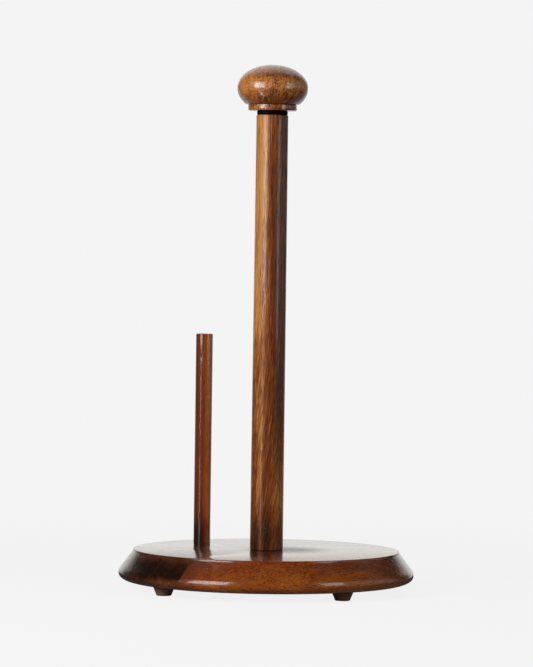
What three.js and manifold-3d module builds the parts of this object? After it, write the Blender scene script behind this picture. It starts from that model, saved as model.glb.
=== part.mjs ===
// A countertop paper towel holder turned in acacia. A round base, glued up from
// three boards, carries a tall post for the roll and a slim side rod that keeps the
// loose end of the paper in place. A ball knob screws onto the post and comes off
// to load a roll. Four tapered rubber feet are screwed under the base.
//
// Millimetres, +Z up. The origin is on the table under the middle of the base. The
// side rod stands towards -X, and the boards and their grain run along Y.

import * as THREE from 'three'
import { mergeVertices } from 'three/addons/utils/BufferGeometryUtils.js'
import Module from 'manifold-3d'

const wasm = await Module()
wasm.setup()

// ---- Driving dimensions ----

// Base
const baseRadius = 95.25          // at its widest, which is low down on the edge
const baseThickness = 20.5
const widestAboveUnderside = 4.7
const undersideRoundWidth = 8.5   // how far the rounding under the edge reaches in
const widestRound = 6.7           // turns the bevel upright at the widest place
const bevelRunPerDrop = 0.75      // how far the bevel moves out for each mm down
const lipHeight = 1.1             // upright lip round the flat top
const lipEdgeRound = 0.5
const rodSideSeam = 34            // glue seams between the boards, from the centre
const outerSeam = 30
const glueLine = 0.2

// Post, for the roll
const postFootRadius = 10.7
const postTopRadius = 10.3
const postLength = 280.4          // takes a roll 279.4 mm (11 in) tall
const postEdgeRound = 0.6

// Side rod, for the loose end of the paper
const rodRadius = 5.55
const rodFromCentre = 71.5
const rodHeight = 137.7           // above the base
const rodSocketDepth = 12
const rodEdgeRound = 0.8

// Knob
const knobRadius = 22.9
const knobUpperHeight = 15        // from the widest place to the top
const knobLowerHeight = 10.5      // from the widest place down to the collar
const knobLowerCurve = 16         // upright half-axis of the curve below the widest place
const collarRadius = 15.7
const collarHeight = 4.2
const collarEdgeRound = 0.9
const collarGroove = 0.6          // groove between the collar and the ball

// Rubber washer under the knob
const knobWasherRadius = 9.9
const knobWasherThickness = 2.7
const knobWasherEdgeRound = 0.8

// Hanger bolt in the knob and the brass insert that it screws into
const boltRadius = 4              // M8
const boltPitch = 1.25
const boltThreadDepth = 0.65
const boltTurnsHeld = 10          // turns of thread inside the insert
const boltWoodEndLength = 14      // coarse end, glued into the knob
const boltWoodEndRadius = 3.6
const boltWoodEndPitch = 2.5
const boltWoodEndThreadDepth = 0.8
const insertWall = 1.5            // from the bolt's crests to the insert's ridges
const insertRidgeHeight = 0.6
const insertRidges = 4
const insertBelowPostTop = 0.3
const roomUnderBolt = 2.5

// Screw and washer that hold the post to the base
const postScrewRadius = 2.4
const postScrewPitch = 2.4
const postScrewThreadDepth = 0.7
const postScrewLength = 48        // under its head
const postScrewHeadRadius = 4.6
const postScrewHeadHeight = 3.2
const postWasherRadius = 8
const postWasherThickness = 1.2
const counterboreDepth = 6

// Feet, each with a steel washer and a screw inside
const footHeight = 5.5
const footTopRadius = 6.8
const footBottomRadius = 5
const footEdgeRound = 0.8
const footFromCentre = 80.5
const footFloorThickness = 1.7    // rubber between the washer and the base
const footWasherThickness = 0.7
const footWasherRadius = 2.9
const footScrewRadius = 1.6
const footScrewPitch = 1.3
const footScrewThreadDepth = 0.45
const footScrewIntoBase = 7
const footScrewHeadRadius = 2.6
const footScrewHeadHeight = 1.5

// Fits
const drilledGap = 0.3            // round a screw, washer or insert in its hole
const glueGap = 0.2               // round the side rod in its socket
const runningGap = 0.1            // between the rubber washer and what it meets

// Facets round each size of turned piece
const baseSides = 72
const knobSides = 40
const postSides = 36
const smallSides = 24
const threadSides = 12
const footScrewSides = 8

// ---- Values worked out from the driving dimensions ----

const underside = footHeight
const baseTop = underside + baseThickness
const postTop = baseTop + postLength
const collarBottom = postTop + knobWasherThickness
const collarTop = collarBottom + collarHeight
const knobWidest = collarTop + knobLowerHeight
const boltTravel = boltTurnsHeld * boltPitch
const insertRadius = boltRadius + insertWall
const insertTop = postTop - insertBelowPostTop
const insertBottom = insertTop - boltTravel
const postHoleBottom = insertBottom - roomUnderBolt
const postScrewHole = postScrewRadius + drilledGap
const counterboreTop = underside + counterboreDepth
const postScrewSeat = counterboreTop - postWasherThickness

// ---- Materials ----

function wood(color) {
  return new THREE.MeshStandardMaterial({ color, roughness: 0.32, metalness: 0 })
}

const darkBoard = wood('#5a2f1b')
const lightBoard = wood('#8a4a26')
const postWood = wood('#7a4a2b')
const rodWood = wood('#74381c')
const knobWood = wood('#7d4a2c')
const rubber = new THREE.MeshStandardMaterial({ color: '#1d1714', roughness: 0.75, metalness: 0 })
const brass = new THREE.MeshStandardMaterial({ color: '#b08a45', roughness: 0.35, metalness: 1 })
const steel = new THREE.MeshStandardMaterial({ color: '#a9abad', roughness: 0.35, metalness: 1 })

// ---- Shape helpers ----

// Points along part of an ellipse in a turned outline. Angles are in degrees, 0
// pointing out from the axis and 90 pointing up.
function arc(centreRadius, centreZ, acrossRadius, uprightRadius, fromDegrees, toDegrees, steps) {
  return Array.from({ length: steps + 1 }, (_, step) => {
    const angle = THREE.MathUtils.degToRad(fromDegrees + ((toDegrees - fromDegrees) * step) / steps)
    return [
      centreRadius + acrossRadius * Math.cos(angle),
      centreZ + uprightRadius * Math.sin(angle),
    ]
  })
}

// A quarter round on an outer edge that ends at the given radius and height.
function lowerEdge(radius, z, round) {
  return arc(radius - round, z + round, round, round, -90, 0, 3)
}

function upperEdge(radius, z, round) {
  return arc(radius - round, z - round, round, round, 0, 90, 3)
}

// A turned piece. The outline is a list of [radius, z] that runs upwards outside.
function turned(outline, sides) {
  const points = outline.map(([radius, z]) => new THREE.Vector2(radius, z))
  return new THREE.LatheGeometry(points, sides).rotateX(Math.PI / 2)
}

function cylinder(radius, fromZ, toZ, sides) {
  return turned([[0, fromZ], [radius, fromZ], [radius, toZ], [0, toZ]], sides)
}

function ring(holeRadius, outerRadius, fromZ, toZ, sides) {
  return turned([
    [holeRadius, fromZ],
    [outerRadius, fromZ],
    [outerRadius, toZ],
    [holeRadius, toZ],
    [holeRadius, fromZ],
  ], sides)
}

// A bar built up from rows. Each row is { z, radiusAt(angle) }, listed upwards.
function barFromRows(rows, sides) {
  const positions = []
  const triangles = []
  for (const { z, radiusAt } of rows) {
    for (let side = 0; side < sides; side++) {
      const angle = (side / sides) * 2 * Math.PI
      positions.push(radiusAt(angle) * Math.cos(angle), radiusAt(angle) * Math.sin(angle), z)
    }
  }
  for (let row = 0; row < rows.length - 1; row++) {
    for (let side = 0; side < sides; side++) {
      const here = row * sides + side
      const next = row * sides + ((side + 1) % sides)
      triangles.push(here, next, next + sides, here, next + sides, here + sides)
    }
  }
  const bottomCentre = rows.length * sides
  const topRow = bottomCentre - sides
  positions.push(0, 0, rows[0].z, 0, 0, rows[rows.length - 1].z)
  for (let side = 0; side < sides; side++) {
    const next = (side + 1) % sides
    triangles.push(bottomCentre, next, side, bottomCentre + 1, topRow + side, topRow + next)
  }
  const geometry = new THREE.BufferGeometry()
  geometry.setAttribute('position', new THREE.Float32BufferAttribute(positions, 3))
  geometry.setIndex(triangles)
  return geometry
}

function plainRow(z, radius) {
  return { z, radiusAt: () => radius }
}

// Rows of a right-hand thread between two heights. taperAt(z) shrinks it to a point.
function threadRows({ fromZ, toZ, crest, depth, pitch, taperAt = () => 1 }) {
  const rowsPerTurn = 4
  const count = Math.ceil(((toZ - fromZ) / pitch) * rowsPerTurn)
  return Array.from({ length: count + 1 }, (_, row) => {
    const z = fromZ + ((toZ - fromZ) * row) / count
    const radiusAt = (angle) => {
      const turns = z / pitch - angle / (2 * Math.PI)
      const fromCrest = 1 - Math.abs(2 * (turns - Math.floor(turns)) - 1)
      return (crest - depth * fromCrest) * taperAt(z)
    }
    return { z, radiusAt }
  })
}

// ---- Joining and cutting ----

function toSolid(geometry) {
  const positionsOnly = new THREE.BufferGeometry()
  positionsOnly.setAttribute('position', geometry.getAttribute('position').clone())
  positionsOnly.setIndex(geometry.getIndex())
  const merged = mergeVertices(positionsOnly, 1e-4)
  const index = merged.getIndex().array
  const triangles = []
  for (let start = 0; start < index.length; start += 3) {
    const [a, b, c] = index.slice(start, start + 3)
    if (a !== b && b !== c && c !== a) {
      triangles.push(a, b, c)
    }
  }
  return new wasm.Manifold(new wasm.Mesh({
    numProp: 3,
    vertProperties: new Float32Array(merged.getAttribute('position').array),
    triVerts: new Uint32Array(triangles),
  }))
}

function toGeometry(solid) {
  const { vertProperties, triVerts } = solid.getMesh()
  const geometry = new THREE.BufferGeometry()
  geometry.setAttribute('position', new THREE.Float32BufferAttribute(vertProperties, 3))
  geometry.setIndex(Array.from(triVerts))
  return geometry
}

function cut(geometry, tools) {
  const whole = toSolid(geometry)
  return toGeometry(tools.reduce((rest, tool) => rest.subtract(toSolid(tool)), whole))
}

function piece(name, geometry, material) {
  const mesh = new THREE.Mesh(geometry, material)
  mesh.name = name
  return mesh
}

// ---- Base ----

// The whole disc, before it is divided into boards: flat underneath, rounded under
// the edge, widest low down, then a straight bevel in to a small upright lip.
function baseDisc() {
  const widest = underside + widestAboveUnderside
  const bevelDegrees = THREE.MathUtils.radToDeg(Math.atan(bevelRunPerDrop))
  const roundOver = arc(baseRadius - widestRound, widest, widestRound, widestRound, 0, bevelDegrees, 3)
  const [bevelRadius, bevelZ] = roundOver[roundOver.length - 1]
  const lipZ = baseTop - lipHeight
  const lipRadius = bevelRadius - bevelRunPerDrop * (lipZ - bevelZ)
  const underEdgeCentre = baseRadius - undersideRoundWidth
  const underEdge = arc(
    underEdgeCentre, widest, undersideRoundWidth, widestAboveUnderside, -90, 0, 6)
  return turned([
    [0, underside],
    ...underEdge,
    ...roundOver.slice(1),
    [lipRadius, lipZ],
    ...upperEdge(lipRadius, baseTop, lipEdgeRound),
    [0, baseTop],
  ], baseSides)
}

function postScrewHoles() {
  const clear = 1
  return [
    cylinder(postScrewHole, underside, baseTop + clear, smallSides),
    cylinder(postWasherRadius + drilledGap, underside - clear, counterboreTop, smallSides),
  ]
}

function rodSocket() {
  const clear = 1
  return cylinder(rodRadius + glueGap, baseTop - rodSocketDepth, baseTop + clear, smallSides)
    .translate(-rodFromCentre, 0, 0)
}

function footScrewHole({ x, y }) {
  const clear = 1
  const top = underside + footScrewIntoBase + drilledGap
  return cylinder(footScrewRadius + drilledGap, underside - clear, top, threadSides)
    .translate(x, y, 0)
}

// One board: the slab of the disc between two seams, with its holes.
function board(fromX, toX, holes) {
  const slab = new THREE.BoxGeometry(toX - fromX, 3 * baseRadius, 3 * baseThickness)
    .translate((fromX + toX) / 2, 0, underside + baseThickness / 2)
  const part = toSolid(baseDisc()).intersect(toSolid(slab))
  return toGeometry(holes.reduce((rest, hole) => rest.subtract(toSolid(hole)), part))
}

const feet = [
  { side: 'outer', x: footFromCentre, y: 0 },
  { side: 'back', x: 0, y: footFromCentre },
  { side: 'rod_side', x: -footFromCentre, y: 0 },
  { side: 'front', x: 0, y: -footFromCentre },
]

function base() {
  const group = new THREE.Group()
  const halfGlue = glueLine / 2
  const footHoles = feet.map(footScrewHole)
  const holes = [...postScrewHoles(), rodSocket(), ...footHoles]
  const beyondEdge = 1.5 * baseRadius
  group.add(
    piece('base_board_rod_side', board(-beyondEdge, -rodSideSeam - halfGlue, holes), darkBoard),
    piece('base_board_middle', board(-rodSideSeam + halfGlue, outerSeam - halfGlue, holes), darkBoard),
    piece('base_board_outer', board(outerSeam + halfGlue, beyondEdge, holes), lightBoard),
  )
  return group
}

// ---- Uprights ----

function post() {
  const screwEnd = postScrewSeat + postScrewLength + drilledGap
  return piece('post', turned([
    [0, screwEnd],
    [postScrewHole, screwEnd],
    [postScrewHole, baseTop],
    [postFootRadius, baseTop],
    ...upperEdge(postTopRadius, postTop, postEdgeRound),
    [insertRadius + drilledGap, postTop],
    [insertRadius + drilledGap, insertBottom],
    [boltRadius + drilledGap, insertBottom],
    [boltRadius + drilledGap, postHoleBottom],
    [0, postHoleBottom],
  ], postSides), postWood)
}

function sideRod() {
  const bottom = baseTop - rodSocketDepth + glueGap
  const top = baseTop + rodHeight
  const rod = piece('side_rod', turned([
    [0, bottom],
    [rodRadius, bottom],
    ...upperEdge(rodRadius, top, rodEdgeRound),
    [0, top],
  ], smallSides), rodWood)
  rod.position.x = -rodFromCentre
  return rod
}

// A brass sleeve pressed into the post, ridged outside. The bolt runs inside it.
function insert() {
  const ridgeSpacing = boltTravel / insertRidges
  const ridges = Array.from({ length: insertRidges }, (_, ridge) => {
    const z = insertBottom + ridge * ridgeSpacing
    return [
      [insertRadius - insertRidgeHeight, z],
      [insertRadius, z + ridgeSpacing / 2],
    ]
  }).flat()
  const hole = boltRadius + drilledGap
  return piece('post_insert', turned([
    [hole, insertBottom],
    ...ridges,
    [insertRadius - insertRidgeHeight, insertTop],
    [hole, insertTop],
    [hole, insertBottom],
  ], smallSides), brass)
}

// ---- Knob ----

function knob() {
  const boltHole = boltRadius + drilledGap
  const boltHoleTop = collarBottom + boltWoodEndLength + drilledGap
  const collarDegrees = THREE.MathUtils.radToDeg(Math.asin(knobLowerHeight / knobLowerCurve))
  return piece('knob', turned([
    [0, boltHoleTop],
    [boltHole, boltHoleTop],
    [boltHole, collarBottom],
    ...lowerEdge(collarRadius, collarBottom, collarEdgeRound),
    [collarRadius, collarTop - collarGroove],
    [collarRadius - collarGroove, collarTop],
    ...arc(0, knobWidest, knobRadius, knobLowerCurve, -collarDegrees, 0, 4),
    ...arc(0, knobWidest, knobRadius, knobUpperHeight, 0, 90, 8).slice(1),
  ], knobSides), knobWood)
}

function knobWasher() {
  const hole = boltRadius + drilledGap
  const bottom = postTop + runningGap
  const top = collarBottom - runningGap
  return piece('knob_washer', turned([
    [hole, bottom],
    ...lowerEdge(knobWasherRadius, bottom, knobWasherEdgeRound),
    ...upperEdge(knobWasherRadius, top, knobWasherEdgeRound),
    [hole, top],
    [hole, bottom],
  ], smallSides), rubber)
}

// Coarse thread up in the knob, a plain waist, and machine thread down in the post.
function knobBolt() {
  const tip = postTop - boltTravel
  const tipBevel = boltThreadDepth
  const machineThread = threadRows({
    fromZ: tip + tipBevel,
    toZ: collarBottom,
    crest: boltRadius,
    depth: boltThreadDepth,
    pitch: boltPitch,
  })
  const woodThread = threadRows({
    fromZ: collarBottom + boltWoodEndPitch,
    toZ: collarBottom + boltWoodEndLength,
    crest: boltWoodEndRadius,
    depth: boltWoodEndThreadDepth,
    pitch: boltWoodEndPitch,
  })
  const waist = boltRadius - boltThreadDepth
  return piece('knob_bolt', barFromRows([
    plainRow(tip, waist),
    ...machineThread,
    plainRow(collarBottom + boltWoodEndPitch / 2, waist),
    ...woodThread,
  ], threadSides), steel)
}

// ---- Screws ----

// A cross-shaped driver recess, opening downwards at the given height.
function crossRecess(headRadius, bottomZ, depth) {
  const span = 1.2 * headRadius
  const slot = 0.28 * headRadius
  return [
    new THREE.BoxGeometry(span, slot, 2 * depth).translate(0, 0, bottomZ),
    new THREE.BoxGeometry(slot, span, 2 * depth).translate(0, 0, bottomZ),
  ]
}

// A wood screw driven upwards: a domed head under the seat, a plain neck, and a
// thread that tapers to its point.
function woodScrew({ seatZ, length, plainLength, radius, depth, pitch, headRadius, headHeight, sides }) {
  const tip = seatZ + length
  const taperLength = 3 * radius
  const pointShare = 0.15
  const recessDepth = 0.5 * headHeight
  const root = radius - depth
  const taperAt = (z) => Math.max(pointShare, Math.min(1, (tip - z) / taperLength))
  const dome = arc(0, seatZ, headRadius, headHeight, -60, 0, 3)
    .map(([across, z]) => plainRow(z, across))
  const shape = barFromRows([
    ...dome,
    plainRow(seatZ, root),
    plainRow(seatZ + plainLength, root),
    ...threadRows({
      fromZ: seatZ + plainLength + pitch / 4,
      toZ: tip,
      crest: radius,
      depth,
      pitch,
      taperAt,
    }),
  ], sides)
  return cut(shape, crossRecess(headRadius, dome[0].z, recessDepth))
}

function postFixings() {
  const group = new THREE.Group()
  const screw = woodScrew({
    seatZ: postScrewSeat,
    length: postScrewLength,
    plainLength: baseTop - postScrewSeat,
    radius: postScrewRadius,
    depth: postScrewThreadDepth,
    pitch: postScrewPitch,
    headRadius: postScrewHeadRadius,
    headHeight: postScrewHeadHeight,
    sides: threadSides,
  })
  const washer = ring(postScrewHole, postWasherRadius, postScrewSeat, counterboreTop, smallSides)
  group.add(
    piece('post_screw', screw, steel),
    piece('post_screw_washer', washer, steel),
  )
  return group
}

// ---- Feet ----

// A tapered rubber foot. A recess underneath takes the washer and the screw head.
function footRubber() {
  const recess = footWasherRadius + drilledGap
  const hole = footScrewRadius + drilledGap
  const washerTop = footHeight - footFloorThickness
  return turned([
    [recess, 0],
    ...lowerEdge(footBottomRadius, 0, footEdgeRound),
    [footTopRadius, footHeight],
    [hole, footHeight],
    [hole, washerTop],
    [recess, washerTop],
    [recess, 0],
  ], smallSides)
}

function foot({ side, x, y }) {
  const group = new THREE.Group()
  const washerTop = footHeight - footFloorThickness
  const screwSeat = washerTop - footWasherThickness
  const hole = footScrewRadius + drilledGap
  const washer = ring(hole, footWasherRadius, screwSeat, washerTop, threadSides)
  const screw = woodScrew({
    seatZ: screwSeat,
    length: footHeight + footScrewIntoBase - screwSeat,
    plainLength: footScrewPitch,
    radius: footScrewRadius,
    depth: footScrewThreadDepth,
    pitch: footScrewPitch,
    headRadius: footScrewHeadRadius,
    headHeight: footScrewHeadHeight,
    sides: footScrewSides,
  })
  group.add(
    piece(`foot_${side}`, footRubber(), rubber),
    piece(`foot_washer_${side}`, washer, steel),
    piece(`foot_screw_${side}`, screw, steel),
  )
  group.position.set(x, y, 0)
  return group
}

// ---- The whole holder ----

const holder = new THREE.Group()
holder.add(
  base(),
  post(),
  sideRod(),
  insert(),
  knob(),
  knobWasher(),
  knobBolt(),
  postFixings(),
  ...feet.map(foot),
)

export default holder
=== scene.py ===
import math

import bmesh
import bpy
from mathutils import Euler, Matrix, Quaternion, Vector

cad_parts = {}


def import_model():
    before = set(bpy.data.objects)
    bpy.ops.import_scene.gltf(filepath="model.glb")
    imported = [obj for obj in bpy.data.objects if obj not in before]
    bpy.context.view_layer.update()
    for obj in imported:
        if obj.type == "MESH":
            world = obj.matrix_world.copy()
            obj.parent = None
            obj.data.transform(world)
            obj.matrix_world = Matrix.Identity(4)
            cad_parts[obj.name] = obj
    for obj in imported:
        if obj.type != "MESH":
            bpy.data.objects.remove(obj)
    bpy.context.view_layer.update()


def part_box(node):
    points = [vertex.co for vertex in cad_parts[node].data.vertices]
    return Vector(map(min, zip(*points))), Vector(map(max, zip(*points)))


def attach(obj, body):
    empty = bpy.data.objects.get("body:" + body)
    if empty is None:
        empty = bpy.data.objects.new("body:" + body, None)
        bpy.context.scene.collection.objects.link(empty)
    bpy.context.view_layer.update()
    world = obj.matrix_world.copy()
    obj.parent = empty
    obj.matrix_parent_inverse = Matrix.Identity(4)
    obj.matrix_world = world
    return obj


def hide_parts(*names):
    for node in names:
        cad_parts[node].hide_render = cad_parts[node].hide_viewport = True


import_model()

MM = 0.001

# Level directions in the photograph's view: towards the camera, and to its right
CAMERA_BACK = Vector((0.8007, -0.5991, 0))
CAMERA_RIGHT = Vector((0.5991, 0.8007, 0))

# ---- Sizes that come from the frame, in metres ----

FEET = ("outer", "back", "rod_side", "front")

post_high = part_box("post")[1]
rod_low, rod_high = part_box("side_rod")
knob_low, knob_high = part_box("knob")
washer_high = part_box("knob_washer")[1]
bolt_low, bolt_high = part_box("knob_bolt")
insert_low, insert_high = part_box("post_insert")
screw_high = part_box("post_screw")[1]
screw_washer_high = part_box("post_screw_washer")[1]
middle_low, middle_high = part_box("base_board_middle")
outer_low, outer_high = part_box("base_board_outer")
rod_side_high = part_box("base_board_rod_side")[1]

base_radius = outer_high.x
base_top = middle_high.z
underside = middle_low.z
outer_seam = (middle_high.x + outer_low.x) / 2
rod_side_seam = (middle_low.x + rod_side_high.x) / 2
post_foot_radius = post_high.x
post_top = post_high.z
rod_radius = (rod_high.x - rod_low.x) / 2
rod_x = (rod_high.x + rod_low.x) / 2
knob_radius = knob_high.x
knob_top = knob_high.z
collar_bottom = knob_low.z
bolt_radius = bolt_high.x

# ---- Sizes that the frame's boxes don't hold ----

# Base
widest_height = underside + 4.7 * MM
underside_round = 8.5 * MM
widest_round = 6.7 * MM
bevel_run_per_drop = 0.75
lip_height = 1.1 * MM
lip_round = 0.3 * MM
lip_blend = 0.35 * MM

# Post and rod
post_top_radius = 10.3 * MM
post_top_round = 0.6 * MM
post_foot_bevel = 0.5 * MM
bolt_tip_room = 2.5 * MM
rod_foot_bevel = 0.3 * MM
rod_top_round = 0.8 * MM

# Knob and its washer
knob_upper_height = 15 * MM
knob_lower_height = 10.5 * MM
knob_lower_curve = 16 * MM
collar_radius = 15.7 * MM
collar_height = 4.2 * MM
collar_round = 0.9 * MM
groove = 0.6 * MM
groove_bottom = 0.1 * MM
groove_depth = 0.2 * MM
washer_round = 0.8 * MM

# Threads
bolt_pitch = 1.25 * MM
bolt_thread_depth = 0.65 * MM
coarse_radius = 3.6 * MM
coarse_pitch = 2.5 * MM
coarse_depth = 0.8 * MM
thread_step = 0.1 * MM
ridge_height = 0.6 * MM
ridges = 4

# Holes and the room in them
screw_hole = 2.7 * MM
foot_screw_hole = 1.9 * MM
drilled_gap = 0.3 * MM
socket_gap = 0.15 * MM
bolt_gap = 0.1 * MM
insert_bore_gap = 0.15 * MM
insert_hole_gap = 0.05 * MM
insert_mouth_bevel = 0.5 * MM

# Feet
foot_bottom_radius = 5 * MM
foot_bottom_round = 0.9 * MM
foot_top_round = 0.3 * MM
foot_recess_bevel = 0.25 * MM

# ---- Mesh helpers ----

SHARP_DEGREES = 32


def arc(centre_r, centre_z, across, upright, start, end, steps):
    """Points on part of an ellipse in a turned outline; 0 degrees points outwards, 90 up."""
    points = []
    for step in range(steps + 1):
        angle = math.radians(start + (end - start) * step / steps)
        points.append((centre_r + across * math.cos(angle), centre_z + upright * math.sin(angle)))
    return points


def lower_edge(radius, z, size, steps=4):
    return arc(radius - size, z + size, size, size, -90, 0, steps)


def upper_edge(radius, z, size, steps=4):
    return arc(radius - size, z - size, size, size, 0, 90, steps)


def ring(bm, sides, centre, z, radius_at):
    """A ring of points round an upright axis. The radius may change with the angle."""
    points = []
    for side in range(sides):
        angle = 2 * math.pi * side / sides
        radius = radius_at(angle)
        x = centre[0] + radius * math.cos(angle)
        y = centre[1] + radius * math.sin(angle)
        points.append(bm.verts.new((x, y, z)))
    return points


def bridge(bm, lower, upper):
    """Faces between two rings, either of which may be a single point."""
    sides = max(len(lower), len(upper))
    for side in range(sides):
        after = (side + 1) % sides
        if len(lower) == 1:
            bm.faces.new((lower[0], upper[after], upper[side]))
        elif len(upper) == 1:
            bm.faces.new((lower[side], lower[after], upper[0]))
        else:
            bm.faces.new((lower[side], lower[after], upper[after], upper[side]))


def shade(bm, sharp_degrees=SHARP_DEGREES):
    """Smooth shading, except across edges sharper than the given angle."""
    for face in bm.faces:
        face.smooth = True
    for edge in bm.edges:
        edge.smooth = edge.is_manifold and edge.calc_face_angle(0) < math.radians(sharp_degrees)


def object_from(name, bm, sharp_degrees=SHARP_DEGREES):
    bmesh.ops.remove_doubles(bm, verts=bm.verts, dist=1e-7)
    bmesh.ops.recalc_face_normals(bm, faces=bm.faces)
    shade(bm, sharp_degrees)
    mesh = bpy.data.meshes.new(name)
    bm.to_mesh(mesh)
    bm.free()
    piece = bpy.data.objects.new(name, mesh)
    bpy.context.scene.collection.objects.link(piece)
    return piece


def turned(outline, sides, centre=(0, 0)):
    """A bmesh of the outline turned about an upright axis. It ends on the axis or closes on itself."""
    bm = bmesh.new()
    closed = outline[0] == outline[-1]
    points = outline[:-1] if closed else outline
    rings = []
    for radius, z in points:
        if radius < 1e-9:
            rings.append([bm.verts.new((centre[0], centre[1], z))])
        else:
            rings.append(ring(bm, sides, centre, z, lambda angle: radius))
    for lower, upper in zip(rings, rings[1:]):
        bridge(bm, lower, upper)
    if closed:
        bridge(bm, rings[-1], rings[0])
    return bm


def threaded_bar(rows, sides, centre=(0, 0)):
    """A bar from rows of (height, radius as a function of the angle), closed at both ends."""
    bm = bmesh.new()
    rings = [ring(bm, sides, centre, z, radius_at) for z, radius_at in rows]
    for lower, upper in zip(rings, rings[1:]):
        bridge(bm, lower, upper)
    bm.faces.new(reversed(rings[0]))
    bm.faces.new(rings[-1])
    return bm


def plain(z, radius):
    """A row of a threaded bar without thread."""
    return (z, lambda angle: radius)


def thread(start, end, crest, depth, pitch, taper=lambda z: 1.0, rows_per_turn=12):
    """Rows of a right-hand thread with narrow flats on its crest and root."""
    count = math.ceil((end - start) / pitch * rows_per_turn)
    rows = []
    for row in range(count + 1):
        z = start + (end - start) * row / count

        def radius_at(angle, z=z):
            turns = z / pitch - angle / (2 * math.pi)
            wave = abs(2 * (turns - math.floor(turns)) - 1)
            height = min(1.0, max(0.0, wave * 1.3 - 0.15))
            return (crest - depth * (1 - height)) * taper(z)

        rows.append((z, radius_at))
    return rows


def cut(piece, cutters):
    """Cuts each cutter object out of the piece and deletes the cutter."""
    for cutter in cutters:
        modifier = piece.modifiers.new("cut", "BOOLEAN")
        modifier.operation = "DIFFERENCE"
        modifier.solver = "EXACT"
        modifier.object = cutter
        evaluated = piece.evaluated_get(bpy.context.evaluated_depsgraph_get())
        mesh = bpy.data.meshes.new_from_object(evaluated)
        piece.modifiers.clear()
        piece.data = mesh
        bpy.data.objects.remove(cutter)
    bm = bmesh.new()
    bm.from_mesh(piece.data)
    shade(bm)
    bm.to_mesh(piece.data)
    bm.free()


# ---- Material helpers ----

WHITE = (1, 1, 1, 1)
BLACK = (0, 0, 0, 1)


class Nodes:
    """Short names for the nodes that the materials and the world here are made of."""

    def __init__(self, owner):
        owner.use_nodes = True
        self.owner = owner
        self.tree = owner.node_tree

    def fill(self, node, inputs):
        """Links each input of the node to a socket, or sets it to a constant."""
        for key, value in inputs.items():
            if isinstance(value, bpy.types.NodeSocket):
                self.tree.links.new(value, node.inputs[key])
            else:
                node.inputs[key].default_value = value

    def node(self, kind, inputs=None, **settings):
        node = self.tree.nodes.new(kind)
        for key, value in settings.items():
            setattr(node, key, value)
        self.fill(node, inputs or {})
        return node

    def result(self, kind, inputs=None, output=0, **settings):
        """One output of a new node."""
        return self.node(kind, inputs, **settings).outputs[output]

    def set(self, **values):
        """Links or sets sockets of the material's shader."""
        inputs = {key.replace("_", " "): value for key, value in values.items()}
        self.fill(self.tree.nodes["Principled BSDF"], inputs)

    def math(self, operation, a, b=0.0):
        return self.result("ShaderNodeMath", {0: a, 1: b}, operation=operation)

    def add(self, total, *others):
        for value in others:
            total = self.math("ADD", total, value)
        return total

    def vector(self, operation, inputs, output="Vector"):
        return self.result("ShaderNodeVectorMath", inputs, output, operation=operation)

    def point(self, turn=(0, 0, 0), sway=None):
        """The point in millimetres, swayed sideways if asked, with the grain laid along Z."""
        metres = self.result("ShaderNodeTexCoord", output="Object")
        point = self.vector("SCALE", {0: metres, "Scale": 1000})
        if sway is not None:
            point = self.vector("ADD", {0: point, 1: sway(self, point)})
        return self.result("ShaderNodeMapping", {"Vector": point, "Rotation": turn})

    def stretch(self, point, across, along, shift=(0, 0, 0)):
        scale = (across, across, along)
        return self.result("ShaderNodeMapping", {"Vector": point, "Scale": scale, "Location": shift})

    def along(self, point, direction):
        """How far the point lies in a direction."""
        return self.vector("DOT_PRODUCT", {0: point, 1: tuple(direction)}, "Value")

    def to_right(self, point):
        """How far the point lies to the right in the photograph's view."""
        return self.along(point, CAMERA_RIGHT)

    def height(self, point):
        return self.result("ShaderNodeSeparateXYZ", {0: point}, "Z")

    def noise(self, vector, scale=1.0, detail=3.0, roughness=0.55, distortion=0.0):
        return self.result("ShaderNodeTexNoise", {
            "Vector": vector, "Scale": scale, "Detail": detail,
            "Roughness": roughness, "Distortion": distortion,
        }, "Fac")

    def spread(self, value, low, high, to_low=0.0, to_high=1.0, smooth=False):
        """Moves the value from one range to another, and holds it at the ends."""
        return self.result(
            "ShaderNodeMapRange",
            {"Value": value, "From Min": low, "From Max": high, "To Min": to_low, "To Max": to_high},
            "Result", interpolation_type="SMOOTHSTEP" if smooth else "LINEAR")

    def ramp(self, value, stops):
        node = self.node("ShaderNodeValToRGB", {"Fac": value})
        elements = node.color_ramp.elements
        while len(elements) < len(stops):
            elements.new(0.5)
        for element, (position, colour) in zip(elements, stops):
            element.position = position
            element.color = (*colour, 1)
        return node.outputs["Color"]

    def mix(self, factor, a, b, blend="MIX"):
        node = self.node("ShaderNodeMix", data_type="RGBA", blend_type=blend)
        places = {socket.identifier: place for place, socket in enumerate(node.inputs)}
        self.fill(node, {places["Factor_Float"]: factor, places["A_Color"]: a, places["B_Color"]: b})
        return next(socket for socket in node.outputs if socket.identifier == "Result_Color")

    def bump(self, height, distance, strength=1.0, normal=None):
        inputs = {"Height": height, "Distance": distance, "Strength": strength}
        if normal is not None:
            inputs["Normal"] = normal
        return self.result("ShaderNodeBump", inputs)

    def by_ray(self, light, reflection, camera_view):
        """One shader as light, one in reflections and one for the camera."""
        path = self.node("ShaderNodeLightPath").outputs
        unseen = self.result("ShaderNodeMixShader", {0: path["Is Glossy Ray"], 1: light, 2: reflection})
        return self.result("ShaderNodeMixShader", {0: path["Is Camera Ray"], 1: unseen, 2: camera_view})


# ---- Wood. Lengths are in millimetres, and the grain's scales are per millimetre ----

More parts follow.
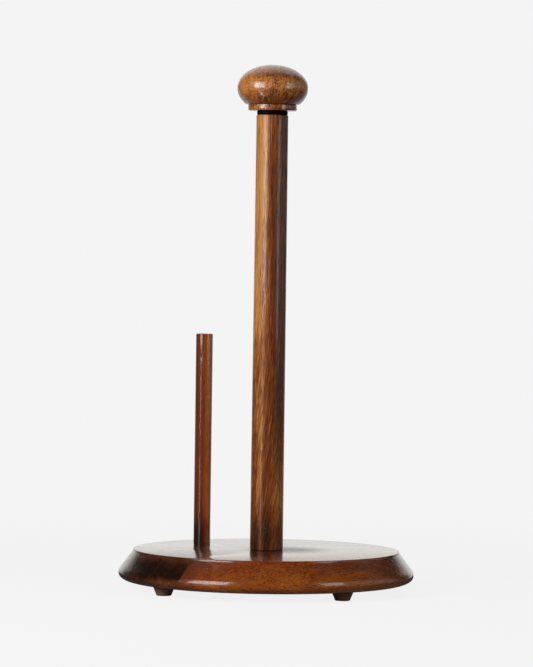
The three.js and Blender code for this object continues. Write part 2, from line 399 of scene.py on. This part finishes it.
# Acacia from its darkest heartwood to its palest sapwood
WOOD_TONES = (
    (0.00, (0.010, 0.004, 0.002)),
    (0.20, (0.040, 0.011, 0.004)),
    (0.40, (0.110, 0.030, 0.009)),
    (0.60, (0.220, 0.058, 0.013)),
    (0.80, (0.400, 0.150, 0.038)),
    (1.00, (0.640, 0.320, 0.110)),
)


def pore_marks(n, point, shift, per_mm, length, width):
    """Short dark pores, wider where they crowd. 1 is inside a pore and 0 is between them."""
    cells = n.result("ShaderNodeTexVoronoi", {
        "Vector": n.stretch(point, per_mm, per_mm / length, shift), "Scale": 1.0, "Randomness": 1.0,
    }, "Distance", feature="F1")
    crowding = n.noise(n.stretch(point, 0.25, 0.03, shift), detail=2.0)
    reach = n.spread(crowding, 0.3, 0.7, width, width + 0.24)
    return n.spread(n.math("SUBTRACT", cells, reach), 0.0, 0.16, 1, 0)


def acacia(name, tone, seed, turn=(0, 0, 0), sway=None, streaks=0.16, fine=0.12, pores=0.30,
           pores_per_mm=0.8, pore_length=6.0, pore_width=0.12, relief=0.00006, bands=None,
           tint=(1, 1, 1), polish=0.12, lacquer=1.0, lacquer_index=1.45, under_gloss=0.12):
    """Lacquered acacia. tone is how light the wood is, from 0 to 1. bands adds a piece's broad
    colouring to it, with painted light and shade in some pieces. relief is how deep the lacquer
    dips over the grain, in metres."""
    n = Nodes(bpy.data.materials.new(name))
    shift = (seed * 17.3, seed * 31.7, seed * 7.9)
    point = n.point(turn, sway)
    wide = n.noise(n.stretch(point, 0.07, 0.008, shift), detail=2.0, distortion=0.5)
    streak = n.noise(n.stretch(point, 0.55, 0.016, shift), detail=4.0, roughness=0.6, distortion=0.2)
    fibre = n.noise(n.stretch(point, 1.5, 0.07, shift), detail=3.0, roughness=0.65)
    pore = pore_marks(n, point, shift, pores_per_mm, pore_length, pore_width)

    total = n.add(
        tone,
        n.spread(wide, 0.3, 0.7, -0.09, 0.09),
        n.spread(streak, 0.25, 0.75, -streaks, streaks),
        n.spread(fibre, 0.25, 0.75, -fine, fine),
        n.math("MULTIPLY", pore, -pores),
    )
    if bands is not None:
        total = n.add(total, bands(n, shift))
    colour = n.mix(1.0, n.ramp(total, WOOD_TONES), (*tint, 1), "MULTIPLY")

    grain = n.math("SUBTRACT", n.math("MULTIPLY", fibre, 0.5), n.math("MULTIPLY", pore, 0.8))
    orange_peel = n.noise(n.stretch(n.point(), 0.10, 0.10, shift), detail=1.0)
    n.set(
        Base_Color=colour,
        Roughness=n.spread(fibre, 0.2, 0.8, 0.38, 0.50),
        Normal=n.bump(grain, 0.00015, 0.6),
        Specular_IOR_Level=under_gloss,
        Coat_Normal=n.bump(orange_peel, 0.0008, 0.2, n.bump(grain, relief, 0.5)),
        Coat_Weight=lacquer(n) if callable(lacquer) else lacquer,
        Coat_Roughness=polish,
        Coat_IOR=lacquer_index,
    )
    return n.owner


def post_sway(n, point):
    """The post's grain runs straight at the top and swings sideways further down."""
    straight_above = 250.0
    below = n.math("MAXIMUM", n.math("SUBTRACT", straight_above, n.height(point)), 0.0)
    swing = n.math("MULTIPLY", n.math("POWER", below, 2.0), 0.00042)
    return n.vector("SCALE", {0: tuple(CAMERA_RIGHT), "Scale": swing})


def post_bands(n, shift):
    """Pale sapwood down the left of the post's upper part and a golden streak below it. The right
    is dark, but pale low down. The foot is dark all round, partly the wood's darker end and partly
    painted shade where the base cuts off light."""
    point = n.point()
    height = n.height(point)
    wander = n.noise(n.stretch(point, 0.05, 0.02, shift), detail=2.0)
    side = n.add(n.to_right(point), n.spread(wander, 0.3, 0.7, -1.2, 1.2))
    upper = n.spread(height, 115.0, 205.0, 0.2, 1.0, smooth=True)
    lower = n.math("SUBTRACT", 1.0, upper)
    pale = n.math("MULTIPLY", upper, n.spread(side, -7.0, 0.0, 0.34, 0.0, smooth=True))
    from_streak = n.math("ABSOLUTE", n.math("ADD", side, 4.6))
    streak = n.math("MULTIPLY", lower, n.spread(from_streak, 0.6, 3.4, 0.22, 0.0, smooth=True))
    right = n.spread(side, -1.0, 6.5, 0.0, -0.17, smooth=True)
    dark = n.math("MULTIPLY", right, n.spread(height, 60.0, 140.0, -2.0, 1.0))
    # Painted shade, partly: the foot is darkened, part the wood's own darker end and part the shade where
    # the base cuts off light.
    foot = n.spread(height, 32.0, 62.0, -0.36, 0.0, smooth=True)
    return n.add(pale, streak, dark, foot)


def rod_bands(n, shift):
    """The rod is a little paler on one side, and darker at the foot: painted shade where the base cuts off
    light.
    """
    point = n.point()
    rod_middle = 1000 * rod_x * CAMERA_RIGHT.x
    side = n.math("SUBTRACT", n.to_right(point), rod_middle)
    pale = n.spread(side, -1.8, 3.8, -0.05, 0.34, smooth=True)
    # Painted shade: the rod's foot is darkened where the base cuts off light.
    foot = n.spread(n.height(point), 30.0, 47.0, -0.32, 0.0, smooth=True)
    return n.add(pale, foot)


def outer_board_bands(n, shift):
    """The orange board darkens towards its seam and its far end. It is lighter low down and darker towards
    its top: painted bounce light from the floor.
    """
    point = n.point()
    at_seam = n.spread(n.along(point, (1, 0, 0)), 30.0, 52.0, -0.20, 0.0, smooth=True)
    far_end = n.spread(n.along(point, (0, 1, 0)), 15.0, 80.0, 0.0, -0.27, smooth=True)
    # Painted light: the lower rounded edge is lightened as bounce light from the floor, fading to darker
    # towards the top.
    painted_floor_bounce = n.spread(n.height(point), 8.0, 22.0, 0.10, -0.05)
    return n.add(at_seam, far_end, painted_floor_bounce)


def middle_board_bands(n, shift):
    """The dark board is redder and lighter low down, more so towards the right: painted bounce light from
    the floor. It is nearly black on its slope and browner on top.
    """
    point = n.point()
    height = n.height(point)
    redness = n.spread(n.to_right(point), -86.0, -60.0, 0.12, 0.50, smooth=True)
    # Painted light: bounce light from the floor makes the board redder and lighter low down, more so towards
    # the right.
    low = n.math("MULTIPLY", redness, n.spread(height, 9.5, 14.5, 1.0, 0.0, smooth=True))
    top = n.spread(height, 19.5, 25.5, 0.0, 0.26, smooth=True)
    return n.add(low, top, -0.14)


def painted_shade_by_post(n):
    """The base's lacquer reflects less in a patch to the right of the post's foot: painted shade beside the
    post.
    """
    patch_middle = CAMERA_RIGHT * 13.0
    from_patch = n.vector("ADD", {0: n.point(), 1: tuple(-patch_middle)})
    level = n.vector("MULTIPLY", {0: from_patch, 1: (1, 1, 0)})
    distance = n.vector("LENGTH", {0: level}, "Value")
    return n.spread(distance, 5.0, 36.0, 0.45, 1.0, smooth=True)


def knob_bands(n, shift):
    """The knob is golden round its middle and browner on the right, with a paler collar. Low on the ball,
    just above the collar, it is darker: painted shade.
    """
    point = n.point()
    height = n.height(point)
    wander = n.noise(n.stretch(point, 0.08, 0.08, shift), detail=2.0)
    middle = n.spread(wander, 0.3, 0.7, 322.0, 329.0)
    from_middle = n.math("ABSOLUTE", n.math("SUBTRACT", height, middle))
    golden = n.spread(from_middle, 1.0, 5.5, 0.20, -0.07, smooth=True)
    brown = n.spread(n.to_right(point), 2.0, 14.0, 0.0, -0.10, smooth=True)
    # Painted shade: the ball's underside just above the collar is darkened.
    below = n.spread(height, 313.5, 320.0, -0.10, 0.0, smooth=True)
    collar = n.spread(height, 313.0, 313.6, 0.12, 0.0)
    return n.add(golden, brown, below, collar)


# ---- Rubber and metal ----


def rubber(name, light, dark, shine):
    n = Nodes(bpy.data.materials.new(name))
    point = n.point()
    grit = n.noise(n.stretch(point, 2.5, 2.5), detail=4.0)
    patches = n.noise(n.stretch(point, 0.2, 0.2), detail=2.0)
    n.set(
        Base_Color=n.mix(n.spread(patches, 0.3, 0.7), (*dark, 1), (*light, 1)),
        Roughness=n.spread(grit, 0.3, 0.7, 0.5, 0.72),
        Normal=n.bump(grit, 0.0001, 0.4),
        Specular_IOR_Level=shine,
    )
    return n.owner


def metal(name, light, dark, rough):
    """Machined metal with fine turning marks round the upright axis."""
    n = Nodes(bpy.data.materials.new(name))
    point = n.point()
    marks = n.noise(n.stretch(point, 0.4, 9.0), detail=3.0)
    dull = n.noise(n.stretch(point, 0.6, 0.6), detail=3.0)
    n.set(
        Base_Color=n.mix(n.spread(dull, 0.3, 0.7), (*dark, 1), (*light, 1)),
        Roughness=n.spread(marks, 0.3, 0.7, rough - 0.07, rough + 0.08),
        Normal=n.bump(marks, 0.00003, 0.4),
        Metallic=1.0,
    )
    return n.owner


# ---- Materials ----

KNOB_LEAN = tuple(Quaternion(CAMERA_BACK, math.radians(14)).to_euler())

board_grain = {"turn": (math.radians(90), 0, 0), "pores_per_mm": 1.2, "pore_length": 5.0}
dark_grain = {**board_grain, "streaks": 0.12, "pores": 0.16, "polish": 0.09, "under_gloss": 0.02}

dark_board_wood = acacia("dark_board_wood", 0.22, 1, **dark_grain)
middle_board_wood = acacia(
    "middle_board_wood", 0.22, 2, bands=middle_board_bands, lacquer=painted_shade_by_post, **dark_grain)
light_board_wood = acacia(
    "light_board_wood", 0.67, 3, streaks=0.10, pores=0.22, bands=outer_board_bands,
    tint=(1.0, 0.72, 0.42), polish=0.11, lacquer=painted_shade_by_post, lacquer_index=1.52,
    under_gloss=0.04, **board_grain)
post_wood = acacia(
    "post_wood", 0.60, 4, sway=post_sway, streaks=0.18, fine=0.24, pores=0.14, pores_per_mm=1.2,
    pore_length=10.0, relief=0.00014, bands=post_bands, tint=(1.0, 0.89, 0.68), lacquer=0.60)
rod_wood = acacia(
    "rod_wood", 0.59, 5, streaks=0.04, fine=0.05, pores=0.08, bands=rod_bands,
    tint=(1.0, 0.63, 0.36), polish=0.11)
knob_wood = acacia(
    "knob_wood", 0.93, 6, KNOB_LEAN, streaks=0.22, fine=0.26, pores=0.50, pores_per_mm=1.6,
    pore_length=1.8, pore_width=0.23, relief=0.00013, bands=knob_bands, tint=(1.0, 0.78, 0.48),
    polish=0.12, lacquer_index=1.66, under_gloss=0.06)
# The washer's rubber is darker than rubber: partly its own black colour, partly painted shade for the gap
# under the collar.
black_rubber_and_shade = rubber("black_rubber_and_shade", (0.006, 0.005, 0.005), (0.003, 0.003, 0.003), 0.06)
brown_rubber = rubber("brown_rubber", (0.240, 0.110, 0.068), (0.160, 0.070, 0.044), 0.30)
steel_material = metal("zinc_plated_steel", (0.62, 0.62, 0.64), (0.48, 0.48, 0.50), 0.32)
brass_material = metal("brass", (0.68, 0.47, 0.18), (0.52, 0.35, 0.12), 0.30)


def place_piece(piece, material, body, slot, *nodes):
    piece.data.materials.clear()
    piece.data.materials.append(material)
    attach(piece, body)
    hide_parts(*nodes)
    return piece


# ---- Base ----


def base_outline():
    """The disc's section, from the screw hole round the outside and back."""
    bevel_degrees = math.degrees(math.atan(bevel_run_per_drop))
    round_over = arc(
        base_radius - widest_round, widest_height, widest_round, widest_round, 0, bevel_degrees, 8)
    bevel_radius, bevel_z = round_over[-1]
    lip_z = base_top - lip_height
    lip_radius = bevel_radius - bevel_run_per_drop * (lip_z - bevel_z)
    counterbore = screw_washer_high.x + drilled_gap
    outline = [(screw_hole, base_top), (screw_hole, screw_washer_high.z)]
    outline += [(counterbore, screw_washer_high.z), (counterbore, underside)]
    outline += arc(
        base_radius - underside_round, widest_height,
        underside_round, widest_height - underside, -90, 0, 16)
    outline += round_over[1:]
    outline += [(lip_radius + bevel_run_per_drop * lip_blend, lip_z - lip_blend)]
    outline += [(lip_radius, lip_z + lip_blend)]
    outline += upper_edge(lip_radius, base_top, lip_round)
    outline.append(outline[0])
    return outline


def hole(x, y, radius, bottom, top, sides=48):
    outline = [(0, bottom), (radius, bottom), (radius, top), (0, top)]
    return object_from("hole", turned(outline, sides, (x, y)))


def board(name, node, from_x, to_x, holes, material, slot):
    """The part of the disc between two seams. None stands for the disc's own edge."""
    bm = turned(base_outline(), 288)
    for x, direction in ((from_x, -1), (to_x, 1)):
        if x is None:
            continue
        geometry = bm.verts[:] + bm.edges[:] + bm.faces[:]
        result = bmesh.ops.bisect_plane(
            bm, geom=geometry, dist=1e-8, plane_co=(x, 0, 0), plane_no=(direction, 0, 0),
            clear_outer=True)
        edges = [e for e in result["geom_cut"] if isinstance(e, bmesh.types.BMEdge)]
        bmesh.ops.contextual_create(bm, geom=edges)
    piece = object_from(name, bm)
    cut(piece, [hole(*where) for where in holes])
    return place_piece(piece, material, "holder", slot, node)


def middle_of(node):
    low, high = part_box(node)
    return (low.x + high.x) / 2, (low.y + high.y) / 2


def foot_hole(side):
    node = f"foot_screw_{side}"
    x, y = middle_of(node)
    return (x, y, foot_screw_hole, underside - MM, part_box(node)[1].z + drilled_gap)


rod_socket = (rod_x, 0, rod_radius + socket_gap, rod_low.z - socket_gap, base_top + MM, 96)
board("board_outer", "base_board_outer", outer_seam, None,
      [foot_hole("outer")], light_board_wood, "board_light")
board("board_middle", "base_board_middle", rod_side_seam, outer_seam,
      [foot_hole("back"), foot_hole("front")], middle_board_wood, "board_dark")
board("board_rod_side", "base_board_rod_side", None, rod_side_seam,
      [rod_socket, foot_hole("rod_side")], dark_board_wood, "board_dark")

# ---- Uprights ----


def post():
    insert_hole = insert_high.x + insert_hole_gap
    bolt_hole = bolt_radius + drilled_gap
    bolt_hole_end = insert_low.z - bolt_tip_room
    screw_end = screw_high.z + drilled_gap
    outline = [(0, screw_end), (screw_hole, screw_end), (screw_hole, base_top)]
    outline += [(post_foot_radius - post_foot_bevel, base_top)]
    outline += [(post_foot_radius, base_top + post_foot_bevel)]
    outline += upper_edge(post_top_radius, post_top, post_top_round, 5)
    outline += [(insert_hole, post_top), (insert_hole, insert_low.z)]
    outline += [(bolt_hole, insert_low.z), (bolt_hole, bolt_hole_end), (0, bolt_hole_end)]
    return object_from("tall_post", turned(outline, 160))


def side_rod():
    outline = [(0, rod_low.z), (rod_radius - rod_foot_bevel, rod_low.z)]
    outline += [(rod_radius, rod_low.z + rod_foot_bevel)]
    outline += upper_edge(rod_radius, rod_high.z, rod_top_round, 6)
    outline += [(0, rod_high.z)]
    return object_from("slim_rod", turned(outline, 112, (rod_x, 0)))


def insert():
    """The brass sleeve, ridged outside, with a lead-in at its mouth."""
    bore = bolt_radius + insert_bore_gap
    valley = insert_high.x - ridge_height
    spacing = (insert_high.z - insert_low.z) / ridges
    outline = [(bore, insert_low.z)]
    for ridge in range(ridges):
        z = insert_low.z + ridge * spacing
        outline += [(valley, z), (insert_high.x, z + spacing / 2)]
    outline += [(valley, insert_high.z), (bore + insert_mouth_bevel, insert_high.z)]
    outline += [(bore, insert_high.z - insert_mouth_bevel), outline[0]]
    return object_from("brass_insert", turned(outline, 72))


place_piece(post(), post_wood, "holder", "post_wood", "post")
place_piece(side_rod(), rod_wood, "holder", "rod_wood", "side_rod")
place_piece(insert(), brass_material, "holder", "brass", "post_insert")

# ---- Knob ----


def knob():
    bolt_hole = bolt_radius + bolt_gap
    widest = knob_top - knob_upper_height
    collar_top = collar_bottom + collar_height
    collar_degrees = math.degrees(math.asin(knob_lower_height / knob_lower_curve))
    outline = [(0, bolt_high.z), (bolt_hole, bolt_high.z), (bolt_hole, collar_bottom)]
    outline += lower_edge(collar_radius, collar_bottom, collar_round, 6)
    outline += upper_edge(collar_radius, collar_top - groove_bottom, groove, 4)
    outline += [(collar_radius - groove - groove_depth, collar_top)]
    outline += arc(0, widest, knob_radius, knob_lower_curve, -collar_degrees, 0, 18)
    outline += arc(0, widest, knob_radius, knob_upper_height, 0, 90, 36)[1:-1]
    outline += [(0, knob_top)]
    return object_from("ball_knob", turned(outline, 192))


def knob_washer():
    hole_radius = bolt_radius + bolt_gap
    outline = [(hole_radius, post_top)]
    outline += lower_edge(washer_high.x, post_top, washer_round, 6)
    outline += upper_edge(washer_high.x, collar_bottom, washer_round, 6)
    outline += [(hole_radius, collar_bottom), outline[0]]
    return object_from("rubber_washer", turned(outline, 96))


def knob_bolt():
    """Machine thread below the collar and coarse thread inside the knob."""
    waist = bolt_radius - bolt_thread_depth
    waist_top = collar_bottom + coarse_pitch
    rows = [plain(bolt_low.z, waist)]
    rows += thread(bolt_low.z + bolt_thread_depth, collar_bottom, bolt_radius, bolt_thread_depth, bolt_pitch)
    rows += [plain(collar_bottom + thread_step, waist), plain(waist_top, waist)]
    rows += thread(waist_top + thread_step, bolt_high.z, coarse_radius, coarse_depth, coarse_pitch)
    return object_from("hanger_bolt", threaded_bar(rows, 40), 50)


place_piece(knob(), knob_wood, "knob", "knob_wood", "knob")
place_piece(knob_bolt(), steel_material, "knob", "steel", "knob_bolt")
# The washer's near-black colour is partly painted shade under the collar.
place_piece(knob_washer(), black_rubber_and_shade, "washer", "rubber", "knob_washer")

# ---- Screws, washers and feet ----

HEAD_DEGREES = 60


def cross_cutters(x, y, head_radius, bottom, depth):
    """The two tapered bars of the cross in a screw's head, as two separate cutters."""
    # Height, then half the bar's length and half its width as shares of the head's radius
    levels = ((bottom - 0.2 * MM, 0.62, 0.15), (bottom + depth, 0.28, 0.12))
    corners = ((-1, -1), (1, -1), (1, 1), (-1, 1))
    cutters = []
    for turn in (0, 90):
        bm = bmesh.new()
        matrix = Matrix.Rotation(math.radians(turn), 4, "Z")
        rings = []
        for z, long_share, short_share in levels:
            long_half = long_share * head_radius
            short_half = short_share * head_radius
            rings.append([
                bm.verts.new(matrix @ Vector((a * long_half, b * short_half, z))) for a, b in corners])
        bridge(bm, *rings)
        bm.faces.new(reversed(rings[0]))
        bm.faces.new(rings[1])
        bmesh.ops.translate(bm, verts=bm.verts, vec=(x, y, 0))
        cutters.append(object_from("recess", bm))
    return cutters


def screw(name, node, washer_node, plain_until, radius, depth, pitch):
    """A wood screw with its tip up and its domed head against the washer."""
    low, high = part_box(node)
    x, y = middle_of(node)
    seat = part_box(washer_node)[0].z
    head_radius = (high.x - low.x) / 2
    dome_height = (seat - low.z) / math.sin(math.radians(HEAD_DEGREES))
    root = radius - depth
    taper_length = 3 * radius
    tip_share = 0.12

    def taper(z):
        return max(tip_share, min(1.0, (high.z - z) / taper_length))

    rows = [plain(z, r) for r, z in arc(0, seat, head_radius, dome_height, -HEAD_DEGREES, 0, 8)]
    rows += [plain(seat, root), plain(plain_until, root)]
    rows += thread(plain_until + 0.2 * pitch, high.z, radius, depth, pitch, taper)
    piece = object_from(name, threaded_bar(rows, 32, (x, y)), 45)
    cut(piece, cross_cutters(x, y, head_radius, low.z, 0.5 * (seat - low.z)))
    return place_piece(piece, steel_material, "holder", "steel", node)


def flat_washer(name, node, hole_radius):
    low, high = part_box(node)
    radius = (high.x - low.x) / 2
    edge = 0.2 * (high.z - low.z)
    outline = [(hole_radius, low.z)]
    outline += lower_edge(radius, low.z, edge, 3)
    outline += upper_edge(radius, high.z, edge, 3)
    outline += [(hole_radius, high.z), outline[0]]
    piece = object_from(name, turned(outline, 64, middle_of(node)))
    return place_piece(piece, steel_material, "holder", "steel", node)


def foot(side):
    """A tapered rubber foot, with its screw and the washer in the recess under it."""
    node = f"foot_{side}"
    washer_node = f"foot_washer_{side}"
    low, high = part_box(node)
    washer_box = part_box(washer_node)
    recess = (washer_box[1].x - washer_box[0].x) / 2 + drilled_gap
    recess_top = washer_box[1].z
    top_radius = (high.x - low.x) / 2
    outline = [(recess, low.z + foot_recess_bevel), (recess + foot_recess_bevel, low.z)]
    outline += lower_edge(foot_bottom_radius, low.z, foot_bottom_round, 6)
    outline += upper_edge(top_radius, high.z, foot_top_round, 3)
    outline += [(foot_screw_hole, high.z), (foot_screw_hole, recess_top)]
    outline += [(recess, recess_top), outline[0]]
    piece = object_from(f"rubber_foot_{side}", turned(outline, 72, middle_of(node)))
    place_piece(piece, brown_rubber, "holder", "rubber", node)
    flat_washer(f"steel_washer_{side}", washer_node, foot_screw_hole)
    screw(f"steel_screw_{side}", f"foot_screw_{side}", washer_node, underside,
          1.6 * MM, 0.45 * MM, 1.3 * MM)


for side in FEET:
    foot(side)
flat_washer("post_washer", "post_screw_washer", screw_hole)
screw("long_screw", "post_screw", "post_screw_washer", base_top, 2.4 * MM, 0.7 * MM, 2.4 * MM)

# ---- Floor, light and camera ----

PAPER = 0.905
FLOOR_RADIUS = 40
STRIP_DEGREES = -45
STRIP_BRIGHTNESS = 5.2


def level_directions(from_camera_degrees):
    """The direction at an angle from the camera, positive to the right, and the one across it."""
    angle = math.radians(from_camera_degrees)
    out = CAMERA_BACK * math.cos(angle) + CAMERA_RIGHT * math.sin(angle)
    across = CAMERA_RIGHT * math.cos(angle) - CAMERA_BACK * math.sin(angle)
    return out, across


def floor_paper():
    """The camera sees an even pale tone with faint shadows near the object. In reflections the
    floor is bright behind the object and under the strip light. As a light it is dull, and from
    below it is clear. Lengths are in metres."""
    n = Nodes(bpy.data.materials.new("floor_paper"))
    n.tree.nodes.clear()
    point = n.result("ShaderNodeTexCoord", output="Object")
    from_middle = n.vector("LENGTH", {0: point}, "Value")

    near = n.spread(from_middle, 0.15, 0.75, 1, 0, smooth=True)
    shadow_colour = n.mix(n.math("MULTIPLY", near, 0.10), BLACK, WHITE)
    shadows = n.result("ShaderNodeBsdfDiffuse", {"Color": shadow_colour})
    even_tone = n.math("SUBTRACT", PAPER, n.math("MULTIPLY", near, 0.055))
    even = n.result("ShaderNodeEmission", {"Color": WHITE, "Strength": even_tone})
    seen = n.result("ShaderNodeAddShader", {0: even, 1: shadows})

    behind = n.spread(n.along(point, CAMERA_BACK), -0.3, 0.1, 0.70, 0.0, smooth=True)
    sideways = n.math("DIVIDE", n.math("ABSOLUTE", n.to_right(point)), from_middle)
    central = n.spread(sideways, 0.45, 0.80, 1.0, 0.0, smooth=True)
    strip_out, strip_across = level_directions(STRIP_DEGREES)
    in_width = n.spread(n.math("ABSOLUTE", n.along(point, strip_across)), 0.03, 0.06, 1, 0)
    in_length = n.spread(n.along(point, strip_out), 0.20, 0.30, 0, 1)
    strip = n.math("MULTIPLY", in_width, in_length)
    glow = n.add(
        n.math("MULTIPLY", behind, central), 0.06, n.math("MULTIPLY", strip, 0.6 * STRIP_BRIGHTNESS))
    mirrored = n.result("ShaderNodeEmission", {"Color": WHITE, "Strength": glow})

    dull = n.result("ShaderNodeBsdfDiffuse", {"Color": (0.35, 0.35, 0.35, 1)})
    from_below = n.result("ShaderNodeNewGeometry", output="Backfacing")
    clear = n.result("ShaderNodeBsdfTransparent")
    surface = n.result("ShaderNodeMixShader", {
        0: from_below, 1: n.by_ray(dull, mirrored, seen), 2: clear})
    n.node("ShaderNodeOutputMaterial", {"Surface": surface})
    return n.owner


def stage():
    bm = bmesh.new()
    bmesh.ops.create_circle(bm, cap_ends=True, cap_tris=True, segments=96, radius=FLOOR_RADIUS)
    floor = object_from("floor", bm)
    floor.data.materials.append(floor_paper())


def world():
    """The camera sees plain pale paper. Reflections show a tall bright backdrop behind the object and
    a dim room to the right, and the rest of the room gives a dim even light."""
    scene_world = bpy.data.worlds.new("studio")
    bpy.context.scene.world = scene_world
    n = Nodes(scene_world)
    n.tree.nodes.clear()
    direction = n.result("ShaderNodeTexCoord", output="Generated")
    to_right = n.to_right(direction)
    narrow = n.spread(n.math("ABSOLUTE", to_right), 0.36, 0.62, 1.0, 0.0, smooth=True)
    behind = n.spread(n.along(direction, -CAMERA_BACK), 0.0, 0.5, 0.0, 1.03, smooth=True)
    right_side = n.spread(to_right, 0.70, 0.97, 0.03, 0.55, smooth=True)
    reflected = n.add(n.math("MULTIPLY", narrow, behind), right_side)
    room = n.result("ShaderNodeBackground", {"Color": WHITE, "Strength": 0.10})
    mirrored = n.result("ShaderNodeBackground", {"Color": (1.0, 0.985, 0.95, 1), "Strength": reflected})
    paper = n.result("ShaderNodeBackground", {"Color": WHITE, "Strength": PAPER})
    n.node("ShaderNodeOutputWorld", {"Surface": n.by_ray(room, mirrored, paper)})


def softbox(name, from_camera_degrees, distance, low, high, width, brightness, mirrored=True):
    """An upright light at an angle from the camera, positive to the right, facing the post. It is
    left out of reflections unless mirrored."""
    light = bpy.data.lights.new(name, "AREA")
    light.shape = "RECTANGLE"
    light.size = width
    light.size_y = high - low
    light.energy = brightness * math.pi * width * (high - low)
    out = level_directions(from_camera_degrees)[0]
    lamp = bpy.data.objects.new(name, light)
    lamp.location = out * distance + Vector((0, 0, (low + high) / 2))
    lamp.rotation_mode = "QUATERNION"
    lamp.rotation_quaternion = out.to_track_quat("Z", "Y")
    lamp.visible_camera = False
    lamp.visible_glossy = mirrored
    bpy.context.scene.collection.objects.link(lamp)


def camera():
    """The photograph's view: 2.3 m away, a little above the middle, leaning 0.8 degrees."""
    distance = 2.3
    height = 0.221
    lean_degrees = 0.8
    aim = CAMERA_RIGHT * -1.85 * MM + Vector((0, 0, 165.6 * MM))
    data = bpy.data.cameras.new("camera")
    data.sensor_width = 36
    data.lens = 192.45
    data.clip_end = 100
    eye = bpy.data.objects.new("camera", data)
    eye.location = CAMERA_BACK * distance + Vector((0, 0, height))
    eye.rotation_mode = "QUATERNION"
    level = (aim - eye.location).to_track_quat("-Z", "Y")
    lean = Euler((0, 0, math.radians(lean_degrees))).to_quaternion()
    eye.rotation_quaternion = level @ lean
    bpy.context.scene.collection.objects.link(eye)
    bpy.context.scene.camera = eye


stage()
world()
softbox("left_softbox", -46, 1.1, 0.25, 0.98, 0.62, 7.6)
softbox("left_strip", STRIP_DEGREES, 1.0, 0.00, 0.22, 0.10, STRIP_BRIGHTNESS)
softbox("right_softbox", 54, 1.2, 0.22, 0.95, 0.42, 2.8)
softbox("back_softbox", 165, 1.6, 0.30, 1.20, 0.80, 1.2, mirrored=False)
camera()
bpy.context.scene.view_settings.view_transform = "Standard"
